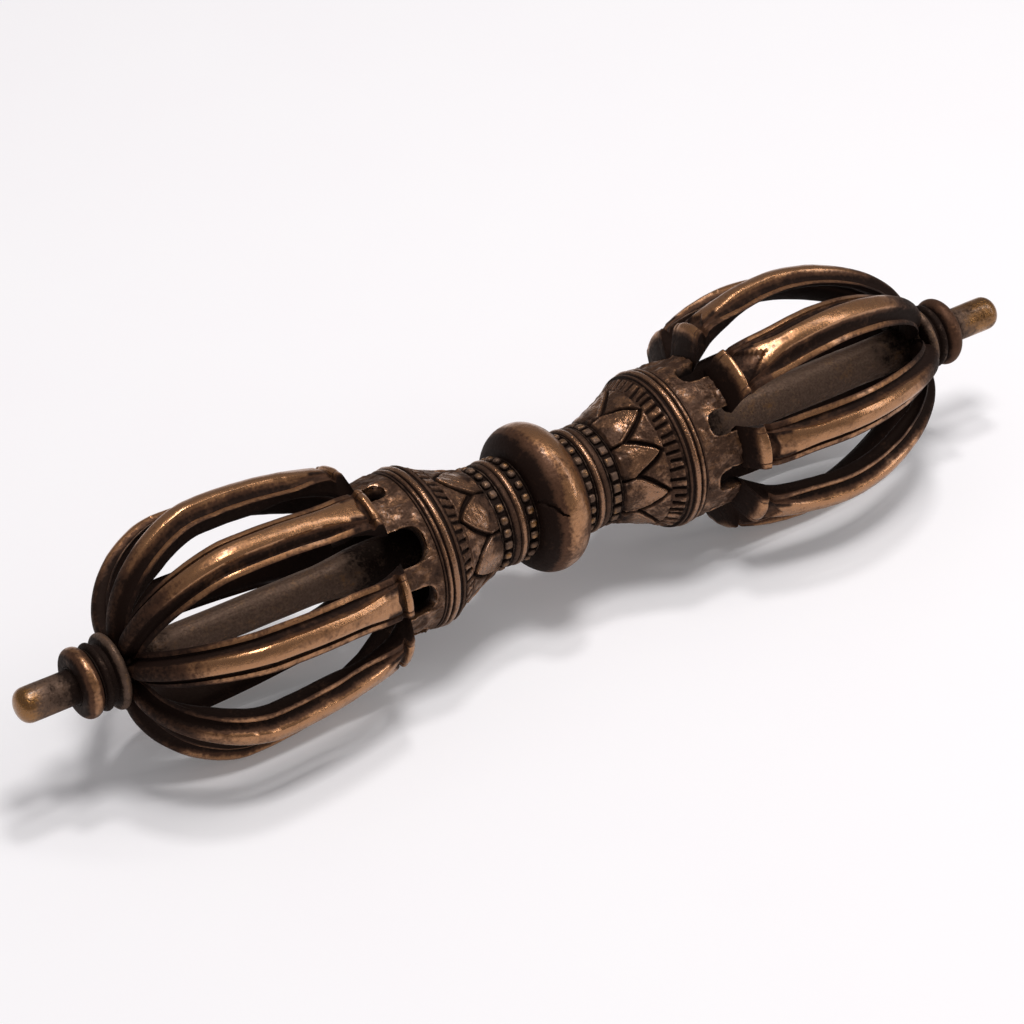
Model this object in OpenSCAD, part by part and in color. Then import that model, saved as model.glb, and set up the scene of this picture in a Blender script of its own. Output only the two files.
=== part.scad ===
// Nine-pronged dorje of aged bronze, strung on one spindle and lying on its side along X.
// Millimetres, +Z up. The origin is the middle of the hub, on the long axis.
// Each half is modelled towards +X and mirrored for the near end, at -X.

/* [Spindle and pins] */
// Diameter of the spindle through the hub, the collars and the bells
spindle_d = 7.0; // [6.4:0.1:8]
// How much thinner the spindle is where the prongs gather round it
spindle_taper = 0.9; // [0.2:0.1:1.4]
// Diameter of the pin at each tip
pin_d = 5.3; // [4:0.1:5.6]
// Length of the pin that stands free beyond the tip ring
pin_length = 9.3; // [6:0.1:14]
// Rounding of the pin's worn end
pin_round = 1.5; // [0.4:0.1:1.8]
// How much thicker the spindle is under the cap and the tip ring than at the pin
tenon_step = 0.25; // [0.2:0.05:0.35]

/* [Hub] */
// Diameter over the swell of the hub
hub_d = 22.7; // [18:0.1:28]
// Length of the hub along the spindle
hub_w = 8.0; // [6:0.1:10]
// How far the swell's rounding is fuller than half the hub's length
hub_full = 0.3; // [0.1:0.1:1]

/* [Collars] */
// Diameter over the beads and over the plain ridges
collar_d = 16.1; // [14:0.1:18]
// Length of a bead ring along the spindle
bead_ring_w = 2.1; // [1.8:0.1:3]
// Length of the ridge ring along the spindle
ridge_ring_w = 2.3; // [1.8:0.1:3]
// Diameter of a bead
bead_d = 1.44; // [1:0.02:1.6]
// Beads in a row
bead_count = 24; // [16:1:26]
// Width of the thin edge on each side of a bead row
bead_edge_w = 0.24; // [0.1:0.02:0.3]
// Height of that edge above the middle of the beads
bead_edge_rise = 0.3; // [0.1:0.05:0.5]
// Radius of one plain ridge
ridge_r = 0.6; // [0.4:0.05:0.7]

/* [Lotus bell] */
// Diameter of the bell's foot, next to the collar
bell_foot_d = 15.2; // [13:0.1:17]
// Length of the flaring part of the bell
bell_length = 8.8; // [7:0.1:12]
// Radius of the bell's hollow flare, seen from the side
bell_flare_r = 32; // [20:1:90]
// Thickness of the bell's solid foot, up to the floor of the cup
bell_floor = 6.2; // [4:0.1:7]
// Width of the cup's floor
cup_floor_d = 14.8; // [11:0.1:16]
// Petals round the bell
petal_count = 8; // [6:1:10]
// Length of a petal from the bell's foot to its point
petal_length = 6.2; // [4:0.1:7]
// Distance from the bell's foot to the widest place of a petal
petal_belly = 2.8; // [1:0.1:3.8]
// Width of a petal at that place
petal_w = 5.4; // [3:0.1:5.6]
// Width of a petal at the bell's foot
petal_foot_w = 4.5; // [2:0.1:5.4]
// Height of a petal above the bell
petal_rise = 0.4; // [0.2:0.05:0.6]

/* [Rim and crown] */
// Diameter of the crown and its tongues
crown_d = 24.0; // [22:0.1:26]
// Depth of the rim ring's seat below the crown
rim_seat_depth = 0.55; // [0.3:0.05:1]
// Thickness of the rim ring at its middle ridge
rim_wall = 0.75; // [0.6:0.05:1.2]
// Length of the rim ring along the spindle
rim_w = 3.4; // [2.6:0.1:5]
// Radius of the thin ridge on each side of the middle one
rim_line_r = 0.25; // [0.15:0.05:0.35]
// Thickness of the crown's wall
crown_wall = 2.4; // [2:0.1:3]
// Length of the plain band between the rim ring and the notches
crown_band = 1.9; // [1:0.1:4]
// Length of a tongue from the notch's bottom to the prong's seat
tongue_length = 4.1; // [3:0.1:6]
// Width of a notch between two tongues
notch_w = 4.2; // [3:0.1:5]

/* [Prongs] */
// Length of the cage from the prongs' seat to the tip cap
cage_length = 40.2; // [36:0.1:48]
// Diameter over the prongs' crests where the cage is widest
cage_d = 38.6; // [34:0.2:44]
// Distance from the prongs' seat to the widest place of the near cage
near_apex_x = 24.5; // [14:0.1:28]
// The same distance in the far cage, which was bent a little differently
far_apex_x = 16.5; // [14:0.1:28]
// How many degrees the far half was turned round the spindle when it was soldered on
far_turn = 5; // [-10:0.5:10]
// How full the curve from the widest place to the tip is: 2 is a quarter of an ellipse, less is slimmer
tip_fullness = 1.7; // [1.5:0.05:2.2]
// Diameter over the crests at the prongs' seat
root_d = 30.1; // [28.6:0.1:32]
// Diameter at which the prongs have turned straight in towards the spindle
bend_d = 11; // [10.6:0.1:14]
// Width of a prong at its flared inner end
root_w = 6.6; // [5.6:0.1:7.6]
// Width of a prong at the widest place of the cage
mid_w = 6.4; // [4.8:0.1:6.8]
// Width of a prong where it turns in towards the spindle
tip_w = 3.4; // [2.6:0.1:4]
// Width of the prong's toe beside the spindle
toe_w = 2.2; // [1.6:0.1:2.4]
// Height of a prong at the widest place of the cage
mid_h = 4.0; // [3.4:0.1:5]
// Height of a prong at its tip
tip_h = 3.2; // [2.4:0.1:4]
// Width of the polished crest
crest_w = 2.8; // [1.8:0.1:3.2]
// Drop from the middle of the crest to its edges
crest_crown = 0.15; // [0.05:0.05:0.3]
// Depth of the groove on each side of the crest
groove_depth = 1.5; // [0.8:0.05:1.8]
// Width of the thin lip outside each groove
lip_w = 0.6; // [0.3:0.05:0.8]
// Drop from the crest to that lip
lip_drop = 1.1; // [0.4:0.05:1.3]
// Height of the bevel between that lip and the prong's side
lip_bevel = 0.3; // [0.1:0.05:0.5]
// Height of the rounding under the prong's sides
belly_round = 0.7; // [0.3:0.1:1]
// Length of the sloping end face, from the tongue up to the bar
end_slope = 1.3; // [0.6:0.1:2]
// Length of the raised bar across the inner end
bar_length = 1.1; // [0.8:0.1:1.6]
// Height of that bar above the crest
bar_rise = 0.25; // [0.1:0.05:0.5]
// Rounding of the bar's edges
bar_round = 0.2; // [0.1:0.05:0.35]
// Depth of the hollow between the bar and the crest
dip = 0.5; // [0.2:0.05:0.8]
// Distance from the prongs' seat over which the crest flares
flare_length = 11; // [6.5:0.1:13]

/* [Tips] */
// Diameter of the tip cap that gathers the prongs
cap_d = 11.5; // [10.6:0.1:13]
// Length of the tip cap along the spindle
cap_w = 3.85; // [3.2:0.05:5]
// Length of the cap's round collar
cap_collar_w = 2.75; // [2:0.05:3]
// Diameter of the groove between the cap and the tip ring
cap_groove_d = 8.8; // [8:0.1:10]
// Diameter over the tip ring
tip_ring_d = 10.5; // [9:0.1:12]
// Length of the tip ring along the spindle
tip_ring_w = 2.8; // [2:0.1:3.4]

/* [Fits] */
// Diameter of the pegs that hold the prongs
peg_d = 1.2; // [0.9:0.05:1.3]
// Length of the peg into the crown's tongue
root_peg_length = 2.4; // [1.6:0.1:2.8]
// Length of the peg into the tip cap
toe_peg_length = 1.6; // [1:0.1:2]
// Metal left between the toe's peg and the end of the toe
peg_wall = 0.4; // [0.3:0.05:0.6]
// Room at the bottom of each peg's hole
peg_room = 0.3; // [0.1:0.05:0.6]
// Radial clearance of every bore round the spindle and of every peg
fit_gap = 0.05; // [0.03:0.01:0.1]
// Radial clearance between the prongs' toes and the spindle
toe_gap = 0.15; // [0.05:0.05:0.4]
// Film of solder between two faces that meet
face_gap = 0.02; // [0.01:0.01:0.05]

/* [Hidden] */
$fn = 96;
PRONGS = 8;
SIDES = ["near", "far"];
PIECES = ["inner_bead_ring", "ridge_ring", "outer_bead_ring", "lotus_bell", "rim_ring", "tip_cap", "tip_ring"];

// Colours as the photograph shows them
crest_bronze = [0.47, 0.33, 0.18];
body_bronze = [0.33, 0.23, 0.16];
dark_bronze = [0.24, 0.19, 0.16];

// How far two shapes of one piece run into each other, and a cut runs past what it cuts
overlap = 1;

// Places along the spindle where one piece ends and the next begins
inner_beads_x = hub_w / 2;
ridges_x = inner_beads_x + bead_ring_w;
outer_beads_x = ridges_x + ridge_ring_w;
bell_x = outer_beads_x + bead_ring_w;
rim_x = bell_x + bell_length;
crown_x = rim_x + rim_w;
notch_x = crown_x + crown_band;
prong_x = notch_x + tongue_length;
cap_x = prong_x + cage_length;
tip_ring_x = cap_x + cap_w;
pin_x = tip_ring_x + tip_ring_w;
tip_x = pin_x + pin_length;

// Radii of the spindle and of the bores on it
spindle_r = spindle_d / 2;
spindle_neck_r = (spindle_d - spindle_taper) / 2;
pin_r = pin_d / 2;
tenon_r = pin_r + tenon_step;
bore_r = spindle_r + fit_gap;
tenon_bore_r = tenon_r + fit_gap;

// The ring on which the beads' middles lie, which is the floor of their channel too
bead_row_r = (collar_d - bead_d) / 2;
bead_edge_r = bead_row_r + bead_edge_rise;
ridge_row_r = collar_d / 2 - ridge_r;

// Radii of the bell, and how deep the petals' solids reach into it
crown_r = crown_d / 2;
rim_seat_r = crown_r - rim_seat_depth;
rim_r = rim_seat_r + rim_wall;
cup_r = crown_r - crown_wall;
petal_sunk = 0.6;

// The prong's path: an arc up to the widest place, then a quarter of a fuller or slimmer ellipse, then a straight toe
cage_r = cage_d / 2;
root_rise = (cage_d - root_d) / 2;
bend_r = bend_d / 2;
tip_fall = cage_r - bend_r;
toe_r = max(spindle_neck_r, tenon_r) + toe_gap;
FLARE_STEPS = 4;
ARC_STEPS = 4;
TIP_STEPS = 8;

// The root of a prong is as deep as the tongue's wall that it sits against, and slopes up from its outside
root_h = root_d / 2 - cup_r;
root_drop = root_d / 2 - crown_r;
bar_x = end_slope + bar_length;
hollow_x = bar_x + 2 * bar_round;

// The fishtail at its fullest, as a share of the way to the lips
FISHTAIL = 0.92;
// How much of that fishtail is left at the hollow behind the bar, where the grooves begin
HOLLOW_FLARE = 0.7;
// Shares of a prong's half width: the foot of the sides, and the flat underside
FOOT = 0.82;
UNDERSIDE = 0.5;
// The least drop of the groove below the crest's edge, and a quarter of the lip's least drop: it keeps the bar crowned
CROWN_STEP = 0.02;

// The pegs of a prong, and their holes
root_peg_r = crown_r - crown_wall / 2;
toe_peg_r = toe_r + peg_wall + peg_d / 2;
peg_hole_r = peg_d / 2 + fit_gap;

// Turns a shape that is drawn along Z so that it lies along X
module along_x() {
    rotate([0, 90, 0]) children();
}

// A round solid from a profile whose X is the radius and whose Y is the place along the spindle
module turned() {
    along_x() rotate_extrude() children();
}

// A piece of the far half with its turn, or its mirror image in the near half
module on_side(side) {
    if (side == "near") mirror([1, 0, 0]) children();
    else rotate([far_turn, 0, 0]) children();
}

// The prongs stand half a step off the vertical, so that the near cage lies on two of them
function prong_angle(k) = (k - 0.5) * 360 / PRONGS;

// One bar for the whole length: straight through the bells, tapered in the cages, and stepped down twice,
// to a tenon under the cap and the tip ring and then to the free pin
module spindle() {
    color(dark_bronze) turned()
        for (end = [0, 1]) mirror([0, end]) {
            polygon([
                [0, -overlap], [spindle_r, -overlap], [spindle_r, prong_x],
                [spindle_neck_r, cap_x - face_gap], [0, cap_x - face_gap]
            ]);
            translate([0, cap_x - overlap]) square([tenon_r, pin_x - cap_x + overlap]);
            pin_profile();
        }
}

module pin_profile() {
    translate([0, pin_x - overlap]) square([pin_r, pin_length - pin_round + overlap]);
    translate([0, tip_x - 2 * pin_round]) square([pin_r - pin_round, 2 * pin_round]);
    intersection() {
        translate([pin_r - pin_round, tip_x - pin_round]) circle(r = pin_round);
        square([pin_r, tip_x]);
    }
}

// The round swell that the fingers hold, flat where the collars meet it
module hub() {
    swell_r = hub_w / 2 + hub_full;
    color(crest_bronze) turned() difference() {
        union() {
            translate([hub_d / 2 - swell_r, 0]) circle(r = swell_r);
            translate([0, -hub_w / 2]) square([hub_d / 2 - swell_r, hub_w]);
        }
        translate([0, -hub_w]) square([bore_r, 2 * hub_w]);
        for (end = [0, 1]) mirror([0, end])
            translate([0, hub_w / 2 - face_gap]) square([hub_d, hub_w]);
    }
}

// A row of beads in a shallow channel
module bead_ring(start) {
    width = bead_ring_w - face_gap;
    color(dark_bronze) translate([start, 0, 0]) {
        turned() {
            translate([bore_r, 0]) square([bead_row_r - bore_r, width]);
            for (edge = [0, width - bead_edge_w])
                translate([bore_r, edge]) square([bead_edge_r - bore_r, bead_edge_w]);
        }
        for (k = [1:bead_count]) rotate([k * 360 / bead_count, 0, 0])
            translate([width / 2, 0, bead_row_r]) sphere(d = bead_d, $fn = 32);
    }
}

// Two plain ridges side by side
module ridge_ring() {
    width = ridge_ring_w - face_gap;
    color(body_bronze) translate([ridges_x, 0, 0]) turned() {
        translate([bore_r, 0]) square([ridge_row_r - bore_r, width]);
        for (end = [ridge_r, width - ridge_r]) translate([ridge_row_r, end]) circle(r = ridge_r);
    }
}

// The flare of the bell: hollowed by a circle that runs through the foot's edge and the rim seat's edge
module bell_flare(rise) {
    foot = [bell_foot_d / 2 + rise, bell_x];
    seat = [rim_seat_r + rise, rim_x];
    chord = seat - foot;
    middle = (foot + seat) / 2;
    outward = [chord.y, -chord.x] / norm(chord);
    difference() {
        translate([bore_r, bell_x]) square([crown_r, bell_length]);
        translate(middle + outward * sqrt(bell_flare_r ^ 2 - (norm(chord) / 2) ^ 2))
            circle(r = bell_flare_r, $fn = 192);
    }
}

// The cup with its petals, its rim seat, and the crown of tongues that carry the prongs
module lotus_bell() {
    color(body_bronze) difference() {
        union() {
            turned() {
                bell_flare(0);
                translate([bore_r, rim_x]) square([rim_seat_r - bore_r, rim_w + overlap]);
                translate([bore_r, crown_x]) square([crown_r - bore_r, prong_x - face_gap - crown_x]);
            }
            petals();
        }
        cup();
        for (k = [1:PRONGS]) rotate([k * 360 / PRONGS, 0, 0]) notch();
        for (k = [1:PRONGS]) rotate([prong_angle(k), 0, 0])
            translate([prong_x - root_peg_length - peg_room, 0, root_peg_r]) along_x()
                cylinder(r = peg_hole_r, h = root_peg_length + peg_room + overlap, $fn = 32);
    }
}

module petals() {
    intersection() {
        turned() difference() {
            bell_flare(petal_rise);
            bell_flare(-petal_sunk);
        }
        for (k = [1:petal_count]) rotate([k * 360 / petal_count, 0, 0])
            translate([bell_x, 0, 0]) linear_extrude(crown_d) polygon([
                [0, -petal_foot_w / 2], [petal_belly, -petal_w / 2], [petal_length, 0],
                [petal_belly, petal_w / 2], [0, petal_foot_w / 2]
            ]);
    }
}

module cup() {
    turned() polygon([
        [0, bell_x + bell_floor], [cup_floor_d / 2, bell_x + bell_floor],
        [cup_r, rim_x + overlap], [cup_r, prong_x + overlap], [0, prong_x + overlap]
    ]);
}

module notch() {
    translate([notch_x + notch_w / 2, 0, 0]) cylinder(d = notch_w, h = crown_d, $fn = 48);
    translate([notch_x + notch_w / 2, -notch_w / 2, 0]) cube([prong_x - notch_x, notch_w, crown_d]);
}

// A band round the bell's mouth: a bold ridge between two thin ones
module rim_ring() {
    width = rim_w - 2 * face_gap;
    seat_r = rim_seat_r + fit_gap;
    band_r = (seat_r + rim_r) / 2;
    color(body_bronze) translate([rim_x + face_gap, 0, 0]) turned() {
        translate([seat_r, 0]) square([band_r - seat_r, width]);
        translate([band_r, width / 2]) circle(r = rim_r - band_r);
        for (end = [rim_line_r, width - rim_line_r]) translate([band_r, end]) circle(r = rim_line_r);
    }
}

// Height of the crest above the axis on the inner arc, at x from the prong's seat
function arc_r(apex) = (apex ^ 2 + root_rise ^ 2) / (2 * root_rise);
function crest_z(x, apex) = cage_r - arc_r(apex) + sqrt(arc_r(apex) ^ 2 - (apex - x) ^ 2);

// A frame for one section: [x, z, lean of the outward direction, share of the run, lift, flare].
// The share is 0.5 at the widest place, 1 where the prong has turned in, and 2 at the toe.
// Flare is 1 at the bar, which is as wide as the prong, and 0 where the crest is plain.
function arc_frame(x, lift, flare, apex) = [x, crest_z(x, apex), 0, x / apex / 2, lift, flare];

function bar_frames(apex) = [
    for (step = [
        [0, -root_drop], [end_slope, bar_rise - bar_round], [end_slope + bar_round, bar_rise], [bar_x, bar_rise]
    ])
    arc_frame(step[0], step[1], 1, apex)
];
function flare_frames(apex) = [
    for (k = [0:FLARE_STEPS])
    let (t = k / FLARE_STEPS)
    arc_frame(hollow_x + (flare_length - hollow_x) * t, -dip * (1 - t), HOLLOW_FLARE * (1 + cos(180 * t)) / 2, apex)
];
function arc_frames(apex) = [
    for (k = [1:ARC_STEPS])
    arc_frame(flare_length + (apex - flare_length) * k / ARC_STEPS, 0, 0, apex)
];
function tip_frames(apex) = [
    for (k = [1:TIP_STEPS])
    let (
        t = 90 * k / TIP_STEPS,
        run = cage_length - apex,
        along = sin(t) ^ (2 / tip_fullness),
        above = k == TIP_STEPS ? 0 : cos(t) ^ (2 / tip_fullness),
        lean = atan2(tip_fall * along ^ (tip_fullness - 1), run * above ^ (tip_fullness - 1))
    )
    [apex + run * along, bend_r + tip_fall * above, lean, 0.5 + t / 180, 0, 0]
];
toe_frame = [cage_length, toe_r, 90, 2, 0, 0];

function frames(apex) =
    concat(bar_frames(apex), flare_frames(apex), arc_frames(apex), tip_frames(apex), [toe_frame]);

// Half the width of the prong, and its height, along the run
function half_width(share, plain_from) = lookup(share, [
    [0, root_w / 2], [plain_from, mid_w / 2], [0.5, mid_w / 2], [1, tip_w / 2], [2, toe_w / 2]
]);
function height(share, plain_from) = lookup(share, [
    [0, root_h], [plain_from, mid_h], [0.5, mid_h], [1, tip_h], [2, tip_h]
]);

// The section across the prong, as [sideways, depth below the crest], once round
function section(w, h, lift, flare) =
    let (
        narrowing = min(1, w / (mid_w / 2)),
        crest = crest_w / 2 * narrowing,
        lip = w - lip_w * narrowing,
        shoulder = crest + (lip * FISHTAIL - crest) * flare,
        plain = (1 - flare) * narrowing,
        edge = crest_crown - lift * flare,
        half = [
            [shoulder, crest_crown - lift],
            [(shoulder + lip) / 2, groove_depth * plain + edge + CROWN_STEP],
            [lip, lip_drop * plain + edge + 4 * CROWN_STEP],
            [w, lip_drop * plain + edge + 4 * CROWN_STEP + lip_bevel],
            [w * FOOT, h - belly_round],
            [w * UNDERSIDE, h]
        ]
    )
    concat([[0, -lift]], half, [[0, h]], [for (k = [len(half) - 1:-1:0]) [-half[k].x, half[k].y]]);

function framed(frame, plain_from) =
    let (w = half_width(frame[3], plain_from), h = height(frame[3], plain_from))
    [
        for (p = section(w, h, frame[4], frame[5]))
        [frame[0] - sin(frame[2]) * p.y, p.x, frame[1] - cos(frame[2]) * p.y]
    ];

// One prong lofted through its sections, with its two pegs
module prong(k, apex) {
    rings = [for (frame = frames(apex)) framed(frame, flare_length / apex / 2)];
    n = len(rings[0]);
    last = len(rings) - 1;
    points = [for (ring = rings, p = ring) p];
    sides = [
        for (r = [0:last - 1], i = [0:n - 1])
        let (a = r * n + i, b = r * n + (i + 1) % n)
        each [[a, b, a + n], [b, b + n, a + n]]
    ];
    caps = [[for (i = [n - 1:-1:0]) i], [for (i = [0:n - 1]) last * n + i]];
    color(crest_bronze) rotate([prong_angle(k) - 90, 0, 0]) translate([prong_x, 0, 0]) {
        polyhedron(points, concat(sides, caps));
        translate([-root_peg_length, 0, root_peg_r]) along_x()
            cylinder(d = peg_d, h = root_peg_length + overlap, $fn = 32);
        translate([cage_length - overlap, 0, toe_peg_r]) along_x()
            cylinder(d = peg_d, h = toe_peg_length + overlap, $fn = 32);
    }
}

// The collar that gathers the prongs' toes: flat towards them, round outside, with a hole for each toe's peg
module tip_cap() {
    width = cap_w - 2 * face_gap;
    round_r = cap_collar_w / 2;
    color(dark_bronze) difference() {
        translate([cap_x + face_gap, 0, 0]) turned() {
            translate([tenon_bore_r, 0]) square([cap_groove_d / 2 - tenon_bore_r, width]);
            translate([tenon_bore_r, 0]) square([cap_d / 2 - round_r - tenon_bore_r, cap_collar_w]);
            translate([tenon_bore_r, 0]) square([cap_d / 2 - tenon_bore_r, round_r]);
            translate([cap_d / 2 - round_r, round_r]) circle(r = round_r);
        }
        for (k = [1:PRONGS]) rotate([prong_angle(k), 0, 0])
            translate([cap_x - overlap, 0, toe_peg_r]) along_x()
                cylinder(r = peg_hole_r, h = toe_peg_length + peg_room + overlap, $fn = 32);
    }
}

// The round ring outside the cap
module tip_ring() {
    tube_r = tip_ring_w / 2 - face_gap;
    color(crest_bronze) translate([tip_ring_x + tip_ring_w / 2, 0, 0]) turned() difference() {
        union() {
            translate([tip_ring_d / 2 - tube_r, 0]) circle(r = tube_r);
            translate([tenon_bore_r, -tube_r]) square([tip_ring_d / 2 - tube_r - tenon_bore_r, 2 * tube_r]);
        }
        translate([0, -tip_ring_w]) square([tenon_bore_r, 2 * tip_ring_w]);
    }
}

module piece(name) {
    if (name == "inner_bead_ring") bead_ring(inner_beads_x);
    if (name == "ridge_ring") ridge_ring();
    if (name == "outer_bead_ring") bead_ring(outer_beads_x);
    if (name == "lotus_bell") lotus_bell();
    if (name == "rim_ring") rim_ring();
    if (name == "tip_cap") tip_cap();
    if (name == "tip_ring") tip_ring();
}

spindle();
hub();
for (side = SIDES, name = PIECES)
    on_side(side) piece(name);
for (side = SIDES, k = [1:PRONGS])
    on_side(side) prong(k, side == "near" ? near_apex_x : far_apex_x);
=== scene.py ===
import math

import bmesh
import bpy
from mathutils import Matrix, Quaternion, Vector, noise


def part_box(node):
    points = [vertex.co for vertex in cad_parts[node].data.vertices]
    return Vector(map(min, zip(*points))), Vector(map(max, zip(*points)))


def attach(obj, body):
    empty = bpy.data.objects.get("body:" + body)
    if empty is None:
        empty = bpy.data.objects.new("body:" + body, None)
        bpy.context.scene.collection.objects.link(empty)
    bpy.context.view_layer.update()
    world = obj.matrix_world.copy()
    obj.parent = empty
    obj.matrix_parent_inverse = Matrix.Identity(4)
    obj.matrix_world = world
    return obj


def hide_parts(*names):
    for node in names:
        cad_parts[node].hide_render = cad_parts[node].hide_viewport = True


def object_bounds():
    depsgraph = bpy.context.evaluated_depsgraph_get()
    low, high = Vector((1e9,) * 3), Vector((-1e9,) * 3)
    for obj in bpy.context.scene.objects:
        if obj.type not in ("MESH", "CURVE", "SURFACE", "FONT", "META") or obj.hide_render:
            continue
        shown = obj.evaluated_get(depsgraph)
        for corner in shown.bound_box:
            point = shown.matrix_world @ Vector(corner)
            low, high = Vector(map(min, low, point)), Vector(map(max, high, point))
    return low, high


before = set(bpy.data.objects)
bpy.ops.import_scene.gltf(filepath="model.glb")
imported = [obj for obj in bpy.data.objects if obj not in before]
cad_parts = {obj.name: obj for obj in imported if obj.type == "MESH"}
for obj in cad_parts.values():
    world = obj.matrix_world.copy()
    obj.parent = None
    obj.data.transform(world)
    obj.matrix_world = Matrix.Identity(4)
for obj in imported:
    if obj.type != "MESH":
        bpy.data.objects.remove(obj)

cad_box = [list(corner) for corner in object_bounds()]

# Camera
# The photograph's view: a long lens over half a metre away, above and to the left of the near end,
# so that the dorje runs up to the right across the picture.
camera_lens = 133.16
camera_sensor = 36
camera_place = (-0.239663, -0.371442, 0.323114)
camera_turn = (53.6057, 1.37745, -33.41751)
camera_data = bpy.data.cameras.new("photo_camera")
camera_data.lens = camera_lens
camera_data.sensor_width = camera_sensor
camera = bpy.data.objects.new("photo_camera", camera_data)
camera.location = camera_place
camera.rotation_euler = [math.radians(angle) for angle in camera_turn]
bpy.context.scene.collection.objects.link(camera)
bpy.context.scene.camera = camera

# Spindle
# One forged and filed bronze bar that every other piece is strung on. It thins a little inside the cages
# and ends in two stubby pins, which handling has rounded and rubbed bare.
# From here to the tip rings, -1 is the near side and 1 the far one, and sizes are in millimetres.
MM = 0.001
FULL_TURN = 2 * math.pi
SIDES = ((-1, "near"), (1, "far"))


def span_of(node):
    """Where a CAD piece begins and ends along the spindle."""
    low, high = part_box(node)
    return round(low[0] / MM, 3), round(high[0] / MM, 3)


spindle_r = 3.5
spindle_waist_r = {-1: 2.68, 1: 3.2}
spindle_bow = (0.15, 0.26)
spindle_bore_r = 3.55
tenon_r = 2.9
tenon_bore_r = 2.95
pin_r = 2.65
face_gap = 0.02
prong_seat_x = span_of("far_lotus_bell")[1] + face_gap
cap_x = span_of("far_tip_cap")[0] - face_gap
pin_x = span_of("far_tip_ring")[1] + face_gap
pin_worn_off = {-1: 0.65, 1: 0.05}
pin_dome = 1.9
pin_pole_r = 0.15
pin_fullness = 0.75
pin_rubbed_x = {-1: (pin_x + 4.95, pin_x + 8.45), 1: (pin_x + 0.95, pin_x + 5.45)}
pin_polish = {-1: 1.0, 1: 0.85}
waist_x = prong_seat_x + 9.3
spindle_columns = 72
bar_rows, cage_rows, tenon_rows, pin_rows, dome_rows = 28, 44, 5, 12, 10


def rough(x, y, z, size, seed=0.0):
    """Unevenness between about -1 and 1 whose lumps are about this many millimetres wide."""
    return noise.noise(Vector((x / size + 31.7 * seed, y / size - 17.1 * seed, z / size + 5.3 * seed)))


def ease(low, high, value):
    """0 below low, 1 above high and a soft step between."""
    t = min(1.0, max(0.0, (value - low) / (high - low)))
    return t * t * (3 - 2 * t)


def between(low, high, steps):
    return [low + (high - low) * k / steps for k in range(steps + 1)]


def turned(profile, columns, uneven, closed):
    """A round form: (x, r) pairs turned about the long axis, with its unevenness added to r."""
    points = []
    for x, r in profile:
        for k in range(columns):
            a = FULL_TURN * k / columns
            reach = r + uneven(x, r * math.cos(a), r * math.sin(a))
            points.append((x, reach * math.cos(a), reach * math.sin(a)))
    faces = []
    rows = len(profile)
    for i in range(rows if closed else rows - 1):
        low, high = i * columns, (i + 1) % rows * columns
        for k in range(columns):
            n = (k + 1) % columns
            faces.append((low + k, low + n, high + n, high + k))
    if not closed:
        faces.append(tuple(range(columns)))
        faces.append(tuple(range((rows - 1) * columns, rows * columns)))
    return points, faces


def piece_of(name, points, faces, rubbed, grime_and_shade, finish, sharp=40):
    """One mesh piece from points in millimetres, marked with where it is rubbed bare and where grime and
    painted shade sit.
    """
    mesh = bpy.data.meshes.new(name)
    mesh.from_pydata([(x * MM, y * MM, z * MM) for x, y, z in points], [], faces)
    shape = bmesh.new()
    shape.from_mesh(mesh)
    bmesh.ops.recalc_face_normals(shape, faces=shape.faces)
    shape.to_mesh(mesh)
    shape.free()
    for mark, worth in (("rubbed", rubbed), ("grime_and_shade", grime_and_shade)):
        layer = mesh.attributes.new(mark, "FLOAT", "POINT")
        layer.data.foreach_set("value", [min(1.0, max(0.0, worth(*p))) for p in points])
    mesh.shade_smooth()
    mesh.set_sharp_from_angle(angle=math.radians(sharp))
    mesh.materials.append(finish)
    piece = bpy.data.objects.new(name, mesh)
    bpy.context.scene.collection.objects.link(piece)
    return piece


def set_on_frame(piece, node):
    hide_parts(node)
    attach(piece, "root")


def add_node(tree, kind, links, **settings):
    """A shader node with its settings, and a link or a plain value for each socket named."""
    made = tree.nodes.new(kind)
    for setting, value in settings.items():
        setattr(made, setting, value)
    for socket, source in links.items():
        if isinstance(source, bpy.types.NodeSocket):
            tree.links.new(source, made.inputs[socket])
        else:
            made.inputs[socket].default_value = source
    return made


def math_node(tree, operation, *values):
    """The result of one sum, product or other operation on links or plain values."""
    return add_node(tree, "ShaderNodeMath", dict(enumerate(values)), operation=operation).outputs[0]


def soft_step(tree, value, low, high):
    links = {"Value": value, "From Min": low, "From Max": high}
    return add_node(tree, "ShaderNodeMapRange", links, interpolation_type="SMOOTHSTEP").outputs[0]


def mixed(tree, share, first, second):
    return add_node(tree, "ShaderNodeMix", {0: share, 6: first, 7: second}, data_type="RGBA").outputs[2]


def new_group(name, inputs, outputs):
    group = bpy.data.node_groups.new(name, "ShaderNodeTree")
    for socket, kind in inputs.items():
        group.interface.new_socket(socket, in_out="INPUT", socket_type="NodeSocket" + kind)
    for socket, kind in outputs.items():
        group.interface.new_socket(socket, in_out="OUTPUT", socket_type="NodeSocket" + kind)
    return group, group.nodes.new("NodeGroupInput").outputs, group.nodes.new("NodeGroupOutput").inputs


def noise_of(tree, place, scale, detail):
    links = {"Vector": place, "Scale": scale, "Detail": detail, "Roughness": 0.6}
    return add_node(tree, "ShaderNodeTexNoise", links).outputs["Fac"]
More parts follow.
